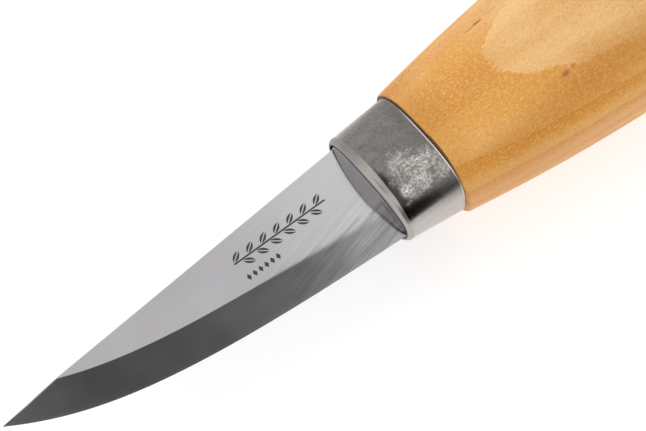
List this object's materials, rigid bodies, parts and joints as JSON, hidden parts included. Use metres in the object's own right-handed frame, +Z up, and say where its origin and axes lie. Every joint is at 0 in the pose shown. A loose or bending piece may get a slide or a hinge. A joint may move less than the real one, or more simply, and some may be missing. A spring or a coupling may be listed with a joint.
{
  "type": "whittling knife",
  "caption": "Short fixed-blade carving knife: straight spine, bevel-ground belly, steel ferrule and barrel-shaped oiled birch handle.",
  "frame": {"origin": "centre of the bottom of the bounding box, on the plane Z = 0 that the knife lies on, on its side", "axes": "+X from the blade's tip to the butt of the handle, +Y from the cutting edge to the spine, +Z up across the blade's thickness"},
  "size_m": [0.165, 0.0298, 0.0244],
  "materials": {
    "blade_steel": "satin flats with fine lengthwise brushing, darker ground bevels",
    "ferrule_steel": "drawn steel, finely pitted on the broad sides and smooth on the narrow ends",
    "face_plate_steel": "plain dull steel",
    "oiled_birch": "oiled, soft sheen, fine flecks along the grain",
    "adhesive": "cured, hidden"
  },
  "bodies": {
    "root": {"blade": "blade_steel", "ferrule": "ferrule_steel", "ferrule_face_plate": "face_plate_steel", "handle": "oiled_birch", "tang_adhesive": "adhesive"}
  },
  "joints": []
}
